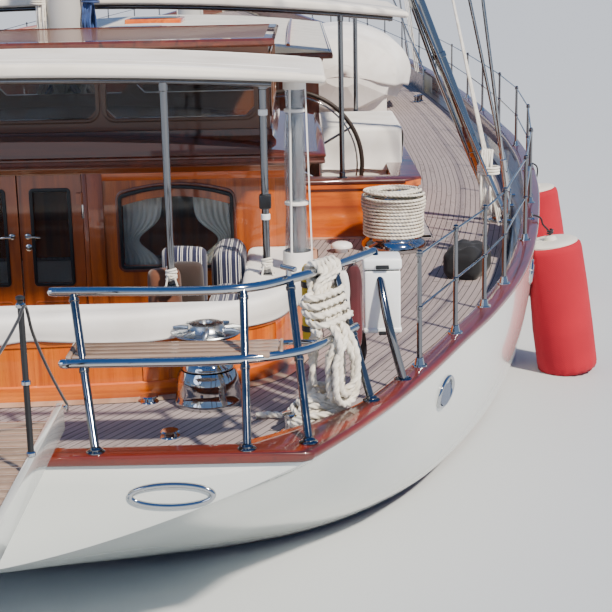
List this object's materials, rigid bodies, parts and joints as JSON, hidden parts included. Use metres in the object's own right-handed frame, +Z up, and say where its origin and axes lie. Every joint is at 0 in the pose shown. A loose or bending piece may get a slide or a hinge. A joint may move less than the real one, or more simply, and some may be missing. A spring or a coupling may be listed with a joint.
{
  "type": "two-masted classic sailing yacht, 1:2 scale model",
  "caption": "Ketch with varnished houses, teak deck, canopies, masts and furled sails, afloat with its whole hull; rudder, wheels, booms, doors, hatch, winches and gangway move.",
  "frame": {"origin": "amidships on the centreline at the waterline", "axes": "+X towards the bow, +Y to port, +Z up"},
  "size_m": [23.42, 5.1854, 22.55],
  "materials": {
    "paint": "glossy white topside enamel",
    "bottom_paint": "matt red-brown antifouling",
    "bronze": "cast bronze",
    "teak": "weathered teak planking with dark seams",
    "varnish": "high gloss varnished mahogany",
    "mahogany": "dark varnished mahogany",
    "canvas": "cream acrylic canvas",
    "burgundy_cloth": "burgundy upholstery cloth",
    "striped_cloth": "navy and white striped cloth",
    "red_cloth": "red fleece fender cover",
    "glass": "tinted window glass",
    "clear_plastic": "clear vinyl sheet",
    "steel": "polished stainless steel",
    "chrome": "chromed bronze",
    "white_plastic": "moulded white case",
    "roof_paint": "cream deck paint",
    "spar": "off-white painted aluminium",
    "rope": "white three-strand rope"
  },
  "bodies": {
    "root": {"hull_aft": "paint", "hull_middle": "paint", "hull_forward": "paint", "ballast_keel": "bottom_paint", "teak_deck": "teak", "cap_rail": "varnish", "aft_coaming": "varnish", "bench_cushion": "burgundy_cloth", "back_cushion": "striped_cloth", "aft_house_walls": "varnish", "aft_house_glass": "glass", "aft_house_roof": "mahogany", "deckhouse_screen": "mahogany", "aft_canopy": "canvas", "helm_canopy": "canvas", "aft_canopy_frame": "steel", "helm_canopy_frame": "steel", "side_curtain": "clear_plastic", "helm_coaming": "varnish", "helm_settee": "burgundy_cloth", "seat_cover_port": "canvas", "seat_cover_starboard": "canvas", "pedestal_port": "paint", "pedestal_starboard": "paint", "main_house_walls": "mahogany", "main_house_glass": "glass", "main_house_roof": "roof_paint", "aft_winch_base_port": "chrome", "aft_winch_base_starboard": "chrome", "primary_winch_port": "chrome", "primary_winch_starboard": "chrome", "pushpit_port": "steel", "pushpit_starboard": "steel", "buoy_box": "white_plastic", "lifelines_port": "steel", "lifelines_starboard": "steel", "pulpit": "steel", "davit": "steel", "main_mast": "spar", "mizzen_mast": "spar", "main_shrouds": "steel", "mizzen_shrouds": "steel", "furled_jib": "canvas", "fender_aft": "red_cloth", "fender_forward": "red_cloth", "warp_hank": "rope", "deck_boat_cover": "canvas"},
    "rudder": {"rudder": "bottom_paint"},
    "propeller": {"propeller": "bronze"},
    "wheel_port": {"wheel_port": "steel"},
    "wheel_starboard": {"wheel_starboard": "steel"},
    "main_boom": {"main_boom": "spar"},
    "mizzen_boom": {"mizzen_boom": "spar"},
    "aft_door_port": {"aft_door_port": "varnish"},
    "aft_door_starboard": {"aft_door_starboard": "varnish"},
    "main_house_door": {"main_house_door": "mahogany"},
    "winch_drum_port": {"aft_winch_drum_port": "chrome"},
    "winch_drum_starboard": {"aft_winch_drum_starboard": "chrome"},
    "fore_hatch_lid": {"fore_hatch_lid": "varnish"},
    "gangway": {"gangway": "paint"}
  },
  "joints": [
    {"name": "rudder_turn", "type": "hinge", "parent": "root", "child": "rudder", "pos_m": [-8.4, 0, -0.52], "axis": [0, 0, 1], "range_deg": [-35, 35]},
    {"name": "wheel_port_turn", "type": "hinge", "parent": "root", "child": "wheel_port", "pos_m": [-7.375, 1.03, 0.925], "axis": [1, 0, 0], "range_deg": [-450, 450]},
    {"name": "wheel_starboard_turn", "type": "hinge", "parent": "root", "child": "wheel_starboard", "pos_m": [-7.375, -1.03, 0.925], "axis": [1, 0, 0], "range_deg": [-450, 450]},
    {"name": "propeller_spin", "type": "hinge", "parent": "root", "child": "propeller", "pos_m": [-7.525, 0, -0.98], "axis": [1, 0, 0], "continuous": true},
    {"name": "main_boom_swing", "type": "hinge", "parent": "root", "child": "main_boom", "pos_m": [-0.44, 0, 2.2], "axis": [0, 0, 1], "range_deg": [-65, 65]},
    {"name": "mizzen_boom_swing", "type": "hinge", "parent": "root", "child": "mizzen_boom", "pos_m": [-8, 0, 2.2], "axis": [0, 0, 1], "range_deg": [-60, 60]},
    {"name": "aft_door_port_hinge", "type": "hinge", "parent": "root", "child": "aft_door_port", "pos_m": [-9.256, 0.25, 0.735], "axis": [0, 0, -1], "range_deg": [0, 100]},
    {"name": "aft_door_starboard_hinge", "type": "hinge", "parent": "root", "child": "aft_door_starboard", "pos_m": [-9.256, -0.25, 0.735], "axis": [0, 0, 1], "range_deg": [0, 100]},
    {"name": "main_house_door_hinge", "type": "hinge", "parent": "root", "child": "main_house_door", "pos_m": [-6.156, 0.55, 0.9625], "axis": [0, 0, -1], "range_deg": [0, 100]},
    {"name": "winch_port_spin", "type": "hinge", "parent": "root", "child": "winch_drum_port", "pos_m": [-10.32, 0.785, 0.715], "axis": [0, 0, 1], "continuous": true},
    {"name": "winch_starboard_spin", "type": "hinge", "parent": "root", "child": "winch_drum_starboard", "pos_m": [-10.32, -0.785, 0.715], "axis": [0, 0, 1], "continuous": true},
    {"name": "fore_hatch_hinge", "type": "hinge", "parent": "root", "child": "fore_hatch_lid", "pos_m": [3, 0, 0.744], "axis": [0, 1, 0], "range_deg": [0, 80]},
    {"name": "gangway_lift", "type": "hinge", "parent": "root", "child": "gangway", "pos_m": [-10.95, -0.2, 0.68205], "axis": [0, 1, 0], "range_deg": [0, 20]}
  ],
  "couplings": [
    {"joint": "wheel_port_turn", "follows": "rudder_turn", "ratio": 12.857},
    {"joint": "wheel_starboard_turn", "follows": "rudder_turn", "ratio": 12.857}
  ]
}
